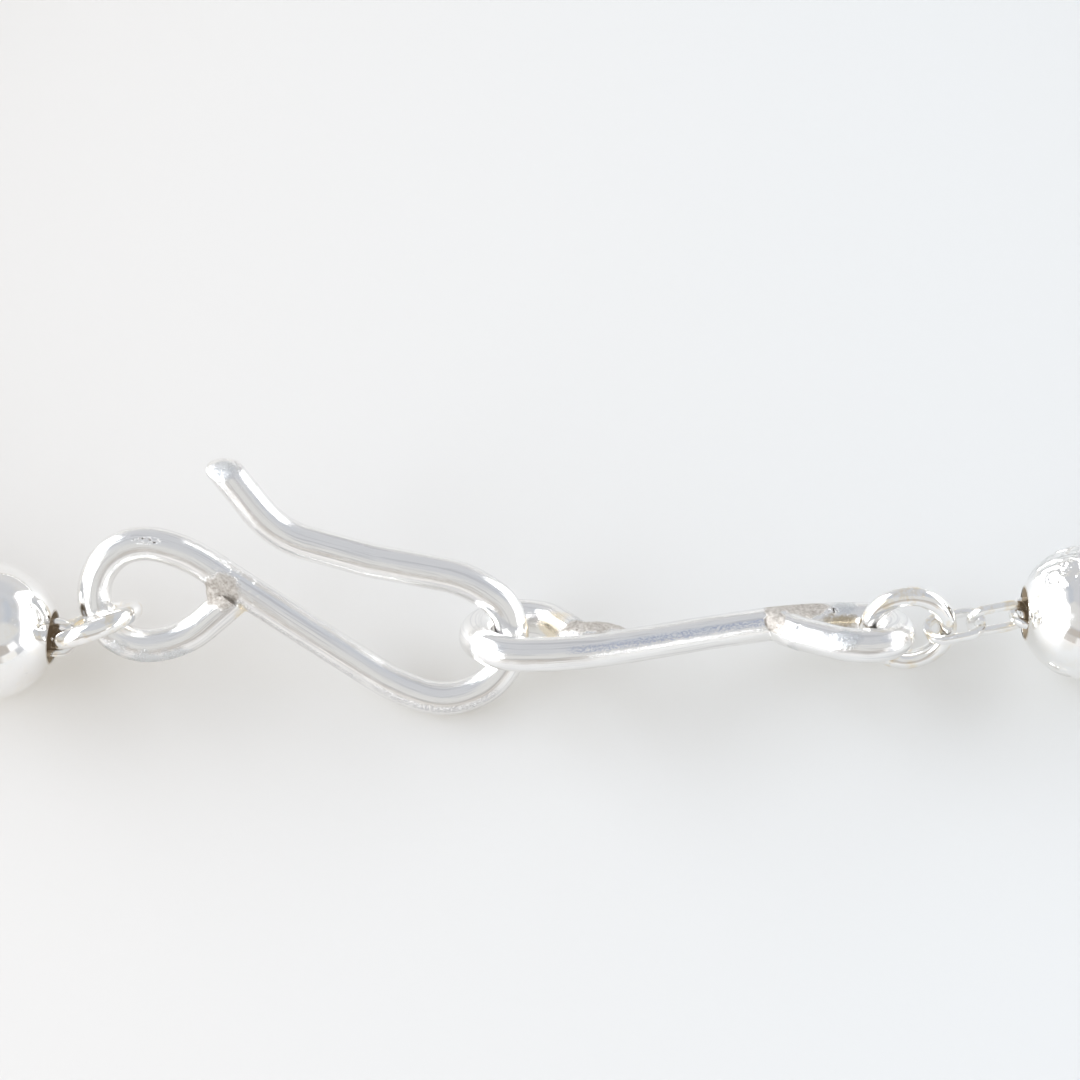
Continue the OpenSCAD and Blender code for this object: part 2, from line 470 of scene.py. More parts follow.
def make_jump_ring(name, at, turn, joint_at):
    """A ring of round wire. joint_at is where round it the ends were soldered."""
    clear_selection()
    bpy.ops.mesh.primitive_torus_add(
        major_radius=RING_R, minor_radius=RING_WIRE_R, major_segments=RING_SEGMENTS, minor_segments=RING_SIDES
    )
    ring = bpy.context.object
    ring.name = name
    way = heading_vector(joint_at)
    open_mesh(ring)
    pick("VERT", lambda v: (point_of(v.co).normalized() - way).length < JOINT_WIDTH)
    bpy.ops.transform.resize(
        value=(JOINT_SWELL,) * 3, center_override=way * RING_R,
        use_proportional_edit=True, proportional_edit_falloff="SHARP", proportional_size=SWELL_REACH,
    )
    close_mesh()
    modify(ring, "DISPLACE", texture=beaten("drawn_ring", RING_WAVE), strength=RING_DEPTH, mid_level=0.5)
    place(ring, Matrix.Translation(at) @ turn)
    shade(ring)
    return ring


# The chain

LINK_LEN, LINK_W, LINK_WIRE, LINK_T, LINK_PITCH = 4.2, 2.6, 0.5, 0.55, 2.89
# Degrees from ring to ring of a link's bends, and how far its edges are softened
PLAIN_LINK, FINE_LINK = (36, 0), (12, 0.13)
LINK_CREASE = 35
SAME_PLACE = 1e-4


def make_link(name, degrees_a_ring, soften):
    """A link of flattened wire, bent round and closed."""
    straight, r = LINK_LEN - LINK_W, (LINK_W - LINK_WIRE) / 2
    clear_selection()
    bpy.ops.mesh.primitive_plane_add(size=1, location=(-straight / 2, -r, 0), rotation=(0, math.pi / 2, 0))
    link = bpy.context.object
    link.name = name
    link.scale = (LINK_T, LINK_WIRE, 1)
    bpy.ops.object.transform_apply(location=True, rotation=True, scale=True)
    open_mesh(link)
    if soften:
        bpy.ops.mesh.select_mode(type="VERT")
        bpy.ops.mesh.select_all(action="SELECT")
        bpy.ops.mesh.bevel(offset=soften, segments=2, affect="VERTICES")
    pick("FACE", lambda f: True)
    bpy.ops.mesh.delete(type="ONLY_FACE")
    close_mesh()
    half = [(straight, 0), (math.pi * r, 180)]
    bend(link, (-straight / 2, -r, 0), half + half, degrees_a_ring, straight)
    open_mesh(link)
    bpy.ops.mesh.select_all(action="SELECT")
    bpy.ops.mesh.remove_doubles(threshold=SAME_PLACE)
    bpy.ops.mesh.normals_make_consistent(inside=False)
    close_mesh()
    shade(link, LINK_CREASE)
    return link


FIRST_HOLE, FIRST_HEADING = (32.1, 0.7), 0.7
LAST_HOLE, LAST_HEADING = (-32.1, -1.1), 358.8
BEAD_R, BEAD_WALL, BEAD_HOLE_R, BEAD_PITCH = 4.5, 0.4, 1.775, 8.75
BEAD_LEN = 2 * math.sqrt(BEAD_R**2 - BEAD_HOLE_R**2)
# From the first bead's outer hole to the last one's
LOOP_LEN = BEAD_COUNT * BEAD_PITCH - (BEAD_PITCH - BEAD_LEN)
STRAIGHT_LEN, SIDE_TURN = 8.9, 110


def loop_table():
    """The bending table of the loop: a straight stretch and three curves that close it."""
    back = 360 - 2 * SIDE_TURN
    turns = [SIDE_TURN - FIRST_HEADING, back, LAST_HEADING - SIDE_TURN - back]
    headings = [FIRST_HEADING, SIDE_TURN, SIDE_TURN + back]
    curves = []
    for h, t in zip(headings, turns):
        x, y, _ = onward((0, 0, h), math.radians(t), t)
        curves.append((x, y, math.radians(t)))
    x, y, _ = onward((*FIRST_HOLE, FIRST_HEADING), STRAIGHT_LEN, 0)
    to_close = [LAST_HOLE[0] - x, LAST_HOLE[1] - y, LOOP_LEN - STRAIGHT_LEN]
    radii = np.linalg.solve(np.array(curves).T, to_close)
    return [(STRAIGHT_LEN, 0)] + [(r * math.radians(t), t) for r, t in zip(radii, turns)]


LOOP_ROWS = loop_table()


def loop_place(d):
    """The place at distance d along the loop from the first bead's outer hole."""
    here = (*FIRST_HOLE, FIRST_HEADING)
    for stretch, turn in LOOP_ROWS[:-1]:
        if d <= stretch:
            return onward(here, d, turn * d / stretch)
        here, d = onward(here, stretch, turn), d - stretch
    stretch, turn = LOOP_ROWS[-1]
    return onward(here, d, turn * d / stretch)


FIRST_LINK_AT = Vector((27.45, -0.1, 4.15))
LAST_LINK_INSIDE = 0.4
# How the end links lie rolled, and how many links show at each end
FIRST_ROLL, LAST_ROLL = -15, 43
SEEN_FIRST, SEEN_LAST = 4, 2


def link_matrices():
    """Where each link lies: a straight lead into the first bead, then along the loop."""
    lead = Vector((*FIRST_HOLE, BEAD_R)) - FIRST_LINK_AT
    length = lead.length + LOOP_LEN - LAST_LINK_INSIDE
    count = round(length / LINK_PITCH) + 1
    untwisted = FIRST_ROLL + (count - 1) * 90
    twist = (LAST_ROLL + 180 * round((untwisted - LAST_ROLL) / 180) - untwisted) / (count - 1)
    heading = math.degrees(math.atan2(lead.y, lead.x))
    rise = math.degrees(math.atan2(lead.z, math.hypot(lead.x, lead.y)))
    found = []
    for i in range(count):
        d = length * i / (count - 1)
        roll = turned(x=FIRST_ROLL + i * (90 + twist))
        if d < lead.length:
            at, way = FIRST_LINK_AT + lead * (d / lead.length), turned(y=-rise, z=heading)
        else:
            x, y, h = loop_place(d - lead.length)
            at, way = Vector((x, y, BEAD_R)), turned(z=h)
        found.append(Matrix.Translation(at) @ way @ roll)
    return found


def make_chain():
    """The links that can be seen have finer bends and soft edges, those inside the beads are plain."""
    plain, fine = make_link("link", *PLAIN_LINK), make_link("fine_link", *FINE_LINK)
    places = link_matrices()
    links = []
    for i, matrix in enumerate(places):
        seen = i < SEEN_FIRST or i >= len(places) - SEEN_LAST
        link = copy_of(fine if seen else plain, f"link_{i}")
        link.matrix_world = matrix
        links.append(link)
    for pattern in (plain, fine):
        bpy.data.objects.remove(pattern)
    chain = join(links, "chain_silver")
    bpy.ops.object.transform_apply(location=True, rotation=True, scale=True)
    return chain


# Beads


def blow_bead(name, segments):
    """A round shell with its holes on the X axis, still one sheet thick."""
    clear_selection()
    bpy.ops.mesh.primitive_uv_sphere_add(
        segments=segments, ring_count=segments * 3 // 4, radius=BEAD_R, rotation=(0, math.pi / 2, 0)
    )
    bead = bpy.context.object
    bead.name = name
    bpy.ops.object.transform_apply(location=True, rotation=True, scale=True)
    open_mesh(bead)
    for side in (-1, 1):
        bpy.ops.mesh.select_all(action="SELECT")
        bpy.ops.mesh.bisect(
            plane_co=(side * BEAD_LEN / 2, 0, 0), plane_no=(side, 0, 0), clear_outer=True,
            threshold=SAW_TOLERANCE,
        )
    close_mesh()
    return bead


CREASE_STEPS = 8


def knock(path, push, size):
    """Knocks a spot or a line of the shell in, or out where push is positive."""
    aims = [Vector(point).normalized() for point in path]
    aims = aims[:1] + [
        a.lerp(b, i / CREASE_STEPS).normalized()
        for a, b in zip(aims, aims[1:]) for i in range(1, CREASE_STEPS + 1)
    ]
    mesh = bmesh.from_edit_mesh(bpy.context.edit_object.data)
    spots = {max(mesh.verts, key=lambda v: v.co.normalized().dot(aim)).index for aim in aims}
    pick("VERT", lambda v: v.index in spots)
    bpy.ops.transform.translate(
        value=sum(aims, Vector()).normalized() * push,
        use_proportional_edit=True, proportional_edit_falloff="SMOOTH", proportional_size=size,
    )


# Where a hole's rim is to be found, how far it is eased, and the angle past which an edge stays sharp
RIM_DEPTH, RIM_WIDTH = 0.02, 0.05
RIM_EASING, RIM_STEPS = 0.06, 2
BEAD_CREASE = 35


def finish_bead(bead):
    """Gives the shell its wall and eases the rims of its holes."""
    modify(bead, "SOLIDIFY", thickness=BEAD_WALL, offset=-1)

    def on_rim(v):
        return abs(v.co.x) > BEAD_LEN / 2 - RIM_DEPTH and math.hypot(v.co.y, v.co.z) > BEAD_HOLE_R - RIM_WIDTH

    open_mesh(bead)
    pick("EDGE", lambda e: all(on_rim(v) for v in e.verts))
    bpy.ops.mesh.bevel(offset=RIM_EASING, segments=RIM_STEPS, affect="EDGES")
    close_mesh()
    bead.data.materials.clear()
    for finish in (BEAD_FINISH, INSIDE_FINISH):
        bead.data.materials.append(finish)
    open_mesh(bead)
    pick("FACE", lambda f: f.normal.dot(f.calc_center_median()) < 0)
    bead.active_material_index = 1
    bpy.ops.object.material_slot_assign()
    close_mesh()
    shade(bead, BEAD_CREASE)
    return bead


# What wear has done to the beads: where each was knocked, how far and how widely
BEAD_DENTS = [
    [
        ([(0.3, 0.8, 0.5)], -0.05, 1.6),
        ([(-0.5, -0.3, 0.8)], -0.04, 1.1),
        ([(0.2, -0.9, -0.3)], -0.05, 1.4),
    ],
    [
        ([(-0.4, 0.7, 0.6)], -0.06, 1.8),
        ([(0.6, -0.2, 0.75)], -0.03, 0.9),
        ([(0.0, -0.6, -0.8)], -0.05, 1.5),
    ],
    [
        ([(0.5, 0.5, -0.7)], -0.05, 1.5),
        ([(-0.2, 0.9, 0.1)], -0.05, 1.2),
        ([(0.4, -0.8, 0.4)], -0.04, 1.9),
    ],
    [
        ([(0.1, -0.4, 0.9)], -0.05, 1.3),
        ([(-0.6, 0.6, -0.4)], -0.05, 1.0),
        ([(0.5, 0.8, 0.2)], -0.04, 1.7),
    ],
]
# The first bead is creased all over its top, where it was squeezed
FIRST_BEAD_DENTS = [
    ([(-0.78, 0.05, 0.63), (-0.58, 0.18, 0.79), (-0.34, 0.21, 0.92), (-0.15, 0.2, 0.97)], -0.09, 0.55),
    ([(-0.67, 0.35, 0.66), (-0.45, 0.35, 0.82), (-0.25, 0.3, 0.92)], 0.06, 0.45),
    ([(-0.69, 0.56, 0.47), (-0.52, 0.7, 0.48)], -0.07, 0.5),
    ([(-0.42, 0.58, 0.7), (-0.24, 0.53, 0.81)], -0.08, 0.55),
    ([(-0.3, 0.75, 0.59), (-0.1, 0.75, 0.66)], 0.05, 0.5),
    ([(-0.6, -0.31, 0.74), (-0.39, -0.46, 0.8), (-0.24, -0.31, 0.92)], -0.035, 0.5),
    ([(-0.84, -0.34, 0.43)], -0.06, 0.45),
    ([(-0.8, -0.2, 0.56)], 0.05, 0.4),
    ([(-0.1, -0.15, 0.98)], -0.1, 1.3),
    ([(-0.05, 0.35, 0.93)], 0.06, 0.7),
    ([(-0.48, -0.85, -0.2), (-0.4, -0.88, -0.22)], 0.05, 0.4),
    ([(0.3, 0.1, 0.95)], -0.08, 1.6),
    ([(0.35, -0.6, 0.7)], -0.05, 1.2),
]
LAST_BEAD_DENTS = [
    ([(0.0, 0.55, 0.83), (0.3, 0.65, 0.7)], -0.05, 0.6),
    ([(0.1, 0.75, 0.65), (0.3, 0.8, 0.5)], 0.03, 0.5),
    ([(0.05, -0.62, 0.78), (0.35, -0.6, 0.72)], 0.03, 0.5),
    ([(0.53, -0.84, -0.13)], -0.05, 0.35),
    ([(-0.4, 0.2, 0.9)], -0.05, 1.4),
]
END_BEAD_SEGMENTS, BEAD_SEGMENTS = 144, 64
ROLL_SEED = 11


def dented(shell, name, dents):
    """A copy of the shell, knocked as it was worn, with its wall and its rims."""
    bead = copy_of(shell, name)
    open_mesh(bead)
    for dent in dents:
        knock(*dent)
    close_mesh()
    return finish_bead(bead)


def make_beads():
    shell = blow_bead("bead_shell", BEAD_SEGMENTS)
    patterns = [dented(shell, f"bead_pattern_{k}", dents) for k, dents in enumerate(BEAD_DENTS)]
    fine_shell = blow_bead("end_bead_shell", END_BEAD_SEGMENTS)
    ends = {
        BEAD_NAMES[0]: dented(fine_shell, "first_bead_pattern", FIRST_BEAD_DENTS),
        BEAD_NAMES[-1]: dented(fine_shell, "last_bead_pattern", LAST_BEAD_DENTS),
    }
    chance = random.Random(ROLL_SEED)
    for k, name in enumerate(BEAD_NAMES):
        a, b = (Vector((*loop_place(k * BEAD_PITCH + along)[:2], BEAD_R)) for along in (0, BEAD_LEN))
        heading = math.degrees(math.atan2(b.y - a.y, b.x - a.x))
        roll = chance.uniform(0, 360)
        bead = copy_of(ends.get(name, patterns[k % len(patterns)]), f"{name}_silver")
        place(bead, Matrix.Translation((a + b) / 2) @ turned(x=0 if name in ends else roll, z=heading))
        settle(bead, name, "bead_silver")
    for pattern in (shell, fine_shell, *patterns, *ends.values()):
        bpy.data.objects.remove(pattern)


# Finishes


class Signal:
    """What a shader node gives out. Sums on signals add Math nodes."""

    def __init__(self, finish, socket):
        self.finish, self.socket = finish, socket

    def math(self, operation, *parts):
        return self.finish.node("Math", {"operation": operation}, parts)

    def __add__(self, other):
        return self.math("ADD", self, other)

    def __radd__(self, other):
        return self.math("ADD", other, self)

    def __sub__(self, other):
        return self.math("SUBTRACT", self, other)

    def __rsub__(self, other):
        return self.math("SUBTRACT", other, self)

    def __mul__(self, other):
        return self.math("MULTIPLY", self, other)

    def __rmul__(self, other):
        return self.math("MULTIPLY", other, self)

    def __truediv__(self, other):
        return self.math("DIVIDE", self, other)

    def __abs__(self):
        return self.math("ABSOLUTE", self)


def lowest(limit, *signals):
    """The least of a limit and some signals."""
    least = signals[0].math("MINIMUM", signals[0], limit)
    for signal in signals[1:]:
        least = least.math("MINIMUM", least, signal)
    return least


class Finish:
    """A surface finish, built up from shader nodes."""

    def __init__(self, owner):
        owner.use_nodes = True
        self.tree = owner.node_tree
        self.tree.nodes.clear()

    def node(self, kind, settings=None, inputs=None, output=0):
        """Adds a node: its settings first, then the values or links of its inputs."""
        made = self.tree.nodes.new("ShaderNode" + kind)
        for key, value in (settings or {}).items():
            setattr(made, key, value)
        pairs = inputs.items() if isinstance(inputs, dict) else enumerate(inputs or ())
        for key, value in pairs:
            if isinstance(value, Signal):
                self.tree.links.new(value.socket, made.inputs[key])
            else:
                made.inputs[key].default_value = value
        return Signal(self, made.outputs[output]) if made.outputs else made

    def vector(self, operation, *parts, output="Vector"):
        return self.node("VectorMath", {"operation": operation}, parts, output)

    def in_mm(self):
        """The place on the object, in millimetres."""
        return self.vector("MULTIPLY", self.node("TexCoord", output="Object"), (1 / MM,) * 3)

    def noise(self, at, per_mm, detail=2.0, roughness=0.5, output=0):
        return self.node("TexNoise", {}, {"Vector": at, "Scale": per_mm, "Detail": detail,
                                          "Roughness": roughness}, output)

    def between(self, value, low, high):
        """0 below low, 1 above high, easing from one to the other."""
        return self.node("MapRange", {"interpolation_type": "SMOOTHSTEP"},
                         {"Value": value, "From Min": low, "From Max": high})

    def window(self, value, low, high, edge):
        """1 from low to high, 0 beyond."""
        risen = self.between(value, low - edge, low + edge)
        return risen * (1 - self.between(value, high - edge, high + edge))

    def ragged(self, at, per_mm, by):
        """The place, moved about by up to half of by, so that an edge drawn there is uneven."""
        drift = self.vector("SUBTRACT", self.noise(at, per_mm, 4.0, 0.7, 1), (0.5,) * 3)
        return self.vector("MULTIPLY_ADD", drift, (by,) * 3, at)

    def patch(self, at, spot, size, edge=0.2):
        """1 within size of a spot, easing to 0 round it."""
        away = self.vector("DIVIDE", self.vector("SUBTRACT", at, spot), size)
        return 1 - self.between(self.vector("LENGTH", away, output="Value"), 1 - edge, 1 + edge)

    def patches(self, at, spots, edge=0.2):
        whole = None
        for spot, size in spots:
            one = self.patch(at, spot, size, edge)
            whole = one if whole is None else whole.math("MAXIMUM", whole, one)
        return whole

    def colour(self, share, a, b):
        return self.node("Mix", {"data_type": "RGBA"}, {0: share, 6: a, 7: b}, 2)

    def bump(self, height, strength=1.0):
        return self.node("Bump", {}, {"Strength": strength, "Distance": MM, "Height": height})

    def skin(self, **parts):
        """The surface itself. Its parts are the shader's own sockets, with _ for a space."""
        inputs = {key.replace("_", " "): value for key, value in parts.items()}
        self.node("OutputMaterial", {}, {"Surface": self.node("BsdfPrincipled", {}, inputs)})


def rgb(r, g, b):
    return (r, g, b, 1.0)


SILVER = rgb(0.95, 0.945, 0.935)
WORN_SILVER = rgb(0.90, 0.895, 0.89)
LINE_SILVER = rgb(0.78, 0.77, 0.775)
# Real grains, tinted blue as a painted reflection of the blue-grey room
GRAIN_WITH_PAINTED_BLUE_REFLECTION = rgb(0.56, 0.60, 0.73)
DARK_GRAIN = rgb(0.60, 0.59, 0.60)
FILED_GREY = rgb(0.68, 0.70, 0.72)
# Painted shade: the olive-brown where a loop's wire lies in its own shade
PAINTED_OLIVE_SHADE = rgb(0.50, 0.42, 0.29)
# STRAW yellows the silver at random, and is also the colour of the painted warm reflections on the wires
STRAW = rgb(0.90, 0.80, 0.62)
PIT = rgb(0.16, 0.14, 0.13)
SOLDER_DARK = rgb(0.36, 0.325, 0.29)
SOLDER_LIGHT = rgb(0.57, 0.54, 0.505)
SOLDER_PIT = rgb(0.22, 0.185, 0.155)
# The inside of a bead: tarnish darkened further as painted shade, and a painted glow
INSIDE_DARK, INSIDE_LIGHT = rgb(0.23, 0.185, 0.13), rgb(0.38, 0.32, 0.24)
INSIDE_DIM_PAINTED_GLOW, INSIDE_PAINTED_GLOW = rgb(0.075, 0.056, 0.036), rgb(0.115, 0.088, 0.06)


def polish(f, at, grain, roughness):
    """What all the silver here has: soft waves, fine marks, and patches that wear has dulled."""
    patchy = f.between(f.noise(at, 0.5, 2.0), 0.45, 0.65)
    scuffs = f.between(f.noise(at, 2.2, 4.0, 0.7), 0.56, 0.62)
    height = f.noise(at, 0.35, 1.0) * 0.05 + f.noise(at, 5.0, 3.0, 0.6) * (patchy * 0.004 + 0.001) * grain
    rough = roughness + patchy * 0.05 * grain + scuffs * 0.04
    return f.colour(patchy * 0.3, SILVER, WORN_SILVER), rough, height


def silver(name, grain, roughness, warm, creased=()):
    """Polished silver, as the rings, the chain and the beads are: slightly yellowed, creased in places."""
    owner = bpy.data.materials.new(name)
    f = Finish(owner)
    at = f.in_mm()
    colour, rough, height = polish(f, at, grain, roughness)
    yellowed = f.between(f.noise(at, 0.9, 4.0, 0.65), 0.48, 0.66)
    colour = f.colour(yellowed * warm, colour, STRAW)
    specks = f.between(f.noise(at, 3.5, 4.0, 0.75), 0.69, 0.72)
    height = height - specks * 0.02
    if creased:
        fold = 1 - f.between(abs(f.noise(f.ragged(at, 0.8, 0.5), 0.75, 1.0) - 0.5), 0.0, 0.14)
        height = height + f.patches(at, creased, 0.35) * (fold * 0.15 + f.noise(at, 1.4, 1.0) * 0.24)
    colour = f.colour(specks * 0.6, colour, PIT)
    f.skin(Base_Color=colour, Metallic=1.0, Roughness=rough, Normal=f.bump(height))
    return owner


def drawn_lines(f, run, coat):
    """Fine lines along the wire, from the plate that it was drawn through."""
    colour, rough, height = coat
    drawn = f.noise(f.vector("MULTIPLY", run, (0.12, 4.5, 4.5)), 1.0, 4.0, 0.65)
    lines = f.between(drawn, 0.50, 0.64)
    return f.colour(lines * 0.85, colour, LINE_SILVER), rough + lines * 0.07, height + drawn * 0.03


GRAIN_RELIEF = 0.085


def grainy_band(f, at, run, grain, coat):
    """Grains that run along the wire from one distance to another, at a place across it."""
    start, end, across, width, tint, dulling = grain
    colour, rough, height = coat
    along = f.node("SeparateXYZ", {}, [run], "X")
    off = f.vector("MULTIPLY", f.ragged(run, 2.0, 0.3), (0.0, 1.0, 1.0))
    band = f.patch(off, across, (width,) * 3, 0.4) * f.window(along, start, end, 0.8)
    grainy = band * f.between(f.noise(at, 11.0, 2.0), 0.42, 0.58)
    relief = grainy * (GRAIN_RELIEF * dulling)
    return f.colour(grainy * 0.85, colour, tint), rough + grainy * dulling, height + relief


def dulled(f, at, where, coat):
    """Patches that a file or wear has left matte and a little uneven."""
    colour, rough, height = coat
    rough = rough + where * (f.noise(at, 9.0, 4.0, 0.7) * 0.25 + 0.03)
    height = height + where * f.noise(at, 4.0, 3.0, 0.7) * 0.05
    return f.colour(where * 0.8, colour, FILED_GREY), rough, height


def tinted_with_painted_light(f, where, tint, strength, coat):
    """Painted light: patches tinted as painted reflections or painted shade, a little duller than the polish.
    """
    colour, rough, height = coat
    return f.colour(where * strength, colour, tint), rough + where * 0.12, height


def pitted(f, at, where, coat):
    """Patches of small dark pits."""
    colour, rough, height = coat
    pits = where * f.between(f.noise(at, 4.5, 3.0, 0.6), 0.50, 0.56)
    return f.colour(pits, colour, PIT), rough, height - pits * 0.06


def soldered(f, at, where, coat):
    """The solder's matte crust and its blowholes. It shines less like metal than the silver does."""
    colour, rough, height = coat
    crust = f.noise(at, 5.0, 5.0, 0.7)
    holes = f.between(f.noise(at, 2.6, 3.0, 0.6), 0.65, 0.72)
    crusted = f.colour(f.between(crust, 0.35, 0.65), SOLDER_DARK, SOLDER_LIGHT)
    f.skin(
        Base_Color=f.colour(where, colour, f.colour(holes, crusted, SOLDER_PIT)),
        Metallic=1 - where * 0.45,
        Roughness=rough * (1 - where) + where * 0.5,
        Normal=f.bump(height + where * (crust * 0.045 - holes * 0.05)),
    )


WIRE_WEAR, WIRE_ROUGHNESS = 1.4, 0.1


def wire_silver(name, origin, tilt, solder, painted_warm_reflections, pits, dull, grains, painted_shade_spots=()):
    """Drawn wire, from its polish up to the solder on it, with painted warm reflections and painted shade in
    places. The places are in the plane that it is bent in, each with how far it reaches."""
    owner = bpy.data.materials.new(name)
    f = Finish(owner)
    at = f.in_mm()
    run = f.node("Attribute", {"attribute_name": "run"}, output="Vector")
    here = f.node("VectorRotate", {"rotation_type": "X_AXIS", "invert": True},
                  {"Vector": f.vector("SUBTRACT", at, tuple(origin + CLASP)), "Angle": math.radians(tilt)})
    uneven = f.ragged(here, 1.7, 0.9)

    coat = drawn_lines(f, run, polish(f, at, WIRE_WEAR, WIRE_ROUGHNESS))
    for grain in grains:
        coat = grainy_band(f, at, run, grain, coat)
    coat = dulled(f, at, f.patches(uneven, dull, 0.3), coat)
    coat = tinted_with_painted_light(f, f.patches(uneven, painted_warm_reflections, 0.35), STRAW, 0.85, coat)
    if painted_shade_spots:
        coat = tinted_with_painted_light(f, f.patches(uneven, painted_shade_spots, 0.35), PAINTED_OLIVE_SHADE, 0.9, coat)
    coat = pitted(f, at, f.patches(here, pits, 0.3), coat)
    soldered(f, at, f.patches(uneven, solder, 0.12), coat)
    return owner


def tarnish_with_painted_shade_and_glow(name):
    """The unpolished inside of a bead, where light finds its way in only by many turns. Its dark colour is
    partly tarnish and partly painted shade, and its emission is a painted glow.
    """
    owner = bpy.data.materials.new(name)
    f = Finish(owner)
    at = f.in_mm()
    cloud = f.noise(at, 0.9, 3.0)
    f.skin(
        Base_Color=f.colour(cloud, INSIDE_DARK, INSIDE_LIGHT),
        Metallic=0.6,
        Roughness=0.45 + cloud * 0.2,
        Normal=f.bump(f.noise(at, 6.0, 3.0) * 0.02, 0.6),
        Emission_Color=f.colour(cloud, INSIDE_DIM_PAINTED_GLOW, INSIDE_PAINTED_GLOW),
        Emission_Strength=0.65,
    )
    return owner


HOOK_FINISH = wire_silver(
    "hook wire silver", HOOK_AT, HOOK_TILT,
    solder=[((-14.25, 7.6, 0.3), (1.35, 1.35, 1.6))],
    # Painted reflections: warm patches where the wire mirrors the floor and the solder's crotch
    painted_warm_reflections=[((-13.2, 6.3, 0.0), (0.7, 0.7, 0.9)), ((-23.2, 6.6, -0.6), (1.2, 1.0, 0.7))],
    pits=[((-19.1, 10.95, 0.95), (0.85, 0.22, 0.4))],
    dull=[((-14.2, 15.9, 0.6), (1.0, 1.0, 1.0)), ((-17.3, 3.2, 0.6), (1.3, 0.6, 0.8)),
          ((-19.3, 3.1, 0.5), (1.3, 0.55, 0.8)), ((-21.2, 3.9, 0.4), (1.0, 0.6, 0.8))],
    grains=[(27.0, 35.0, (0.0, 0.62, 0.93), 0.25, DARK_GRAIN, 0.14),
            (36.0, 48.0, (0.0, 0.85, 0.72), 0.25, DARK_GRAIN, 0.14)],
)
EYE_FINISH = wire_silver(
    "eye wire silver", EYE_AT, EYE_TILT,
    solder=[((3.6, -0.9, 0.7), (2.3, 0.95, 0.95)), ((15.6, 0.9, 0.7), (0.75, 1.6, 0.75)),
            ((17.2, 1.9, 1.1), (2.2, 1.2, 0.5))],
    # Painted shade on the inner side of the ring-side loop
    painted_shade_spots=[((20.1, 1.2, 0.45), (1.3, 0.5, 0.6))],
    # Painted reflections: the gold inside the hook-side loop and the cream under the ring-side joint
    painted_warm_reflections=[((0.7, 0.6, 0.1), (1.8, 1.0, 1.2)), ((16.8, 1.0, -0.4), (1.3, 0.6, 0.5))],
    pits=[((19.6, 2.0, 0.8), (0.35, 0.3, 0.3))],
    dull=[((20.0, -2.4, 0.8), (1.0, 0.7, 0.7)), ((20.3, 2.2, 0.9), (0.9, 0.5, 0.5)),
          ((17.2, 0.1, -0.45), (0.9, 0.8, 0.5))],
    # The grains are real; their blue tint is a painted reflection
    grains=[(18.5, 32.5, (0.0, -0.95, 0.60), 0.26, GRAIN_WITH_PAINTED_BLUE_REFLECTION, 0.01),
            (19.5, 32.5, (0.0, -1.11, 0.16), 0.12, SILVER, 0.16)],
)
RING_FINISH = silver("jump ring silver", 0.5, 0.08, 0.6)
CHAIN_FINISH = silver("chain silver", 0.7, 0.13, 0.7)
# Where the first bead is creased, from its middle, and how far round there
CREASED = [((-2.1, 2.2, 3.2), 2.2), ((-2.1, -3.8, -0.9), 0.8)]
BEAD_FINISH = silver("bead silver", 0.4, 0.06, 0.12,
                     [(tuple(FIRST_BEAD + Vector(spot) + CLASP), (size,) * 3) for spot, size in CREASED])
INSIDE_FINISH = tarnish_with_painted_shade_and_glow("tarnished inside")

# Making the pieces

hook = make_hook()
place(hook, Matrix.Translation(HOOK_AT) @ turned(x=HOOK_TILT))
settle(hook, "hook", "wire_silver", HOOK_FINISH)

eye = make_eye()
place(eye, Matrix.Translation(EYE_AT) @ turned(x=EYE_TILT))
settle(eye, "eye", "wire_silver", EYE_FINISH)

for node, at, turn, joint_at in (
    ("jump_ring_hook", HOOK_RING_AT, HOOK_RING_TURN, HOOK_RING_JOINT),
    ("jump_ring_eye", EYE_RING_AT, EYE_RING_TURN, EYE_RING_JOINT),
):
    settle(make_jump_ring(f"{node}_silver", at, turn, joint_at), node, "ring_silver", RING_FINISH)

settle(make_chain(), "chain", "chain_silver", CHAIN_FINISH)
make_beads()

# The surface, the light and the camera


# Painted light on the floor: a warm-to-cool cast across it, and a warm glow that lightens its shadows
PAPER_IN_PAINTED_WARM_CAST, PAPER_IN_PAINTED_COOL_CAST, GREY_PAPER = rgb(0.492, 0.503, 0.533), rgb(0.466, 0.500, 0.548), rgb(0.5, 0.5, 0.5)
WARM_UP_TO, COOL_FROM = -50.0, 35.0
PAINTED_WARM_GLOW = rgb(1.0, 0.84, 0.55)


def paper(name):
    """Pale paper with a slight gloss, warmer to the left and cooler to the right as a painted cast of the
    light. It has a painted warm glow, which lightens and warms the shadows on it."""
    owner = bpy.data.materials.new(name)
    f = Finish(owner)
    at = f.in_mm()
    across = f.between(f.node("SeparateXYZ", {}, [at], "X"), WARM_UP_TO, COOL_FROM)
    colour = f.colour(f.noise(at, 0.02, 3.0) * 0.12, f.colour(across, PAPER_IN_PAINTED_WARM_CAST, PAPER_IN_PAINTED_COOL_CAST), GREY_PAPER)
    f.skin(
        Base_Color=colour,
        Roughness=0.5,
        Specular_IOR_Level=0.4,
        Emission_Color=PAINTED_WARM_GLOW,
        Emission_Strength=0.2,
        Normal=f.bump(f.noise(at, 1.5, 4.0) * 0.02, 0.3),
    )
    return owner


